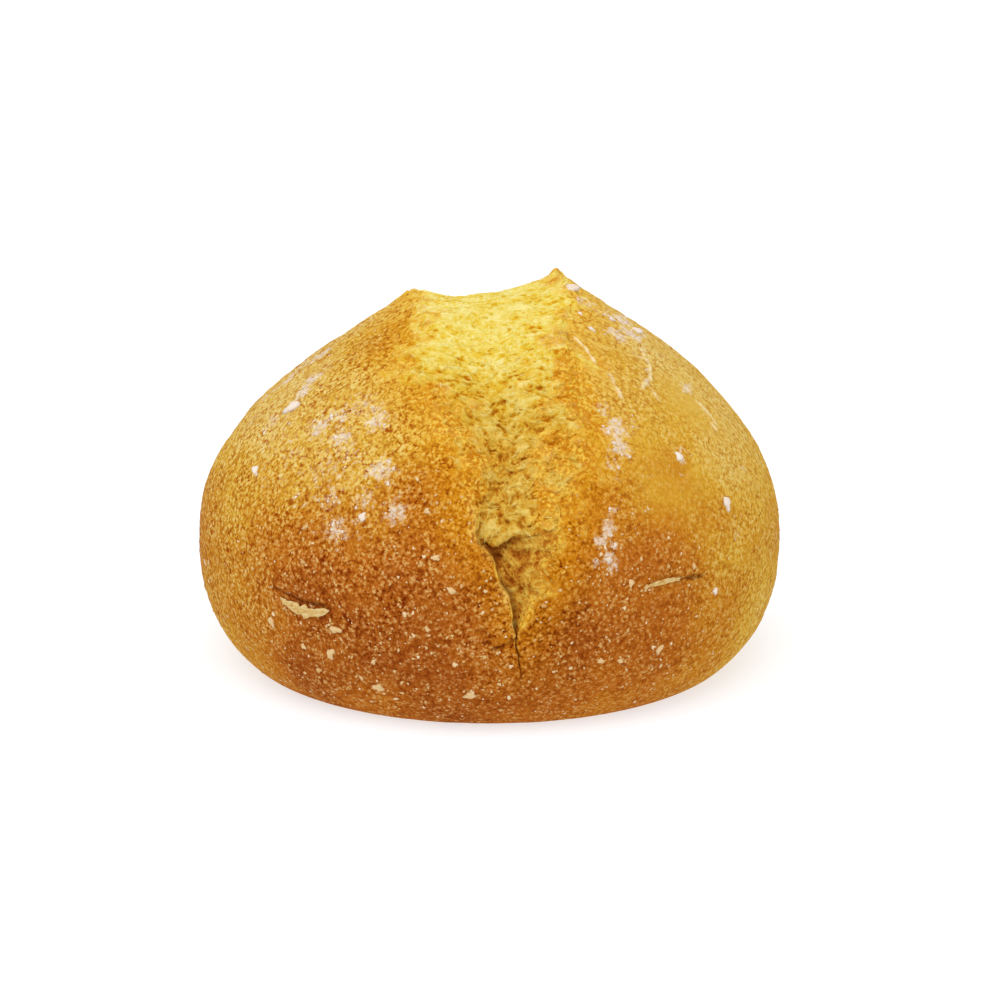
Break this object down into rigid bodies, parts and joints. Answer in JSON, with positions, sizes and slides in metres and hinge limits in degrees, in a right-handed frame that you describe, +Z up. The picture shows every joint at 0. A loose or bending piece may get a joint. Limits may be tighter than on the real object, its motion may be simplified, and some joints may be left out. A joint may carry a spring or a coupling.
{
  "type": "bread roll",
  "caption": "Round crusty bread roll with a domed top that burst open along the middle, showing pale torn crumb between raised lips of browned crust.",
  "frame": {"origin": "middle of the flat base", "axes": "+Z up, -Y towards the front, where the split runs down in a thin crack; the split runs along Y"},
  "size_m": [0.1, 0.0994, 0.0653],
  "materials": {
    "crust": "matte browned crust, dusted with flour"
  },
  "bodies": {
    "root": {"bread_roll": "crust"}
  },
  "joints": []
}
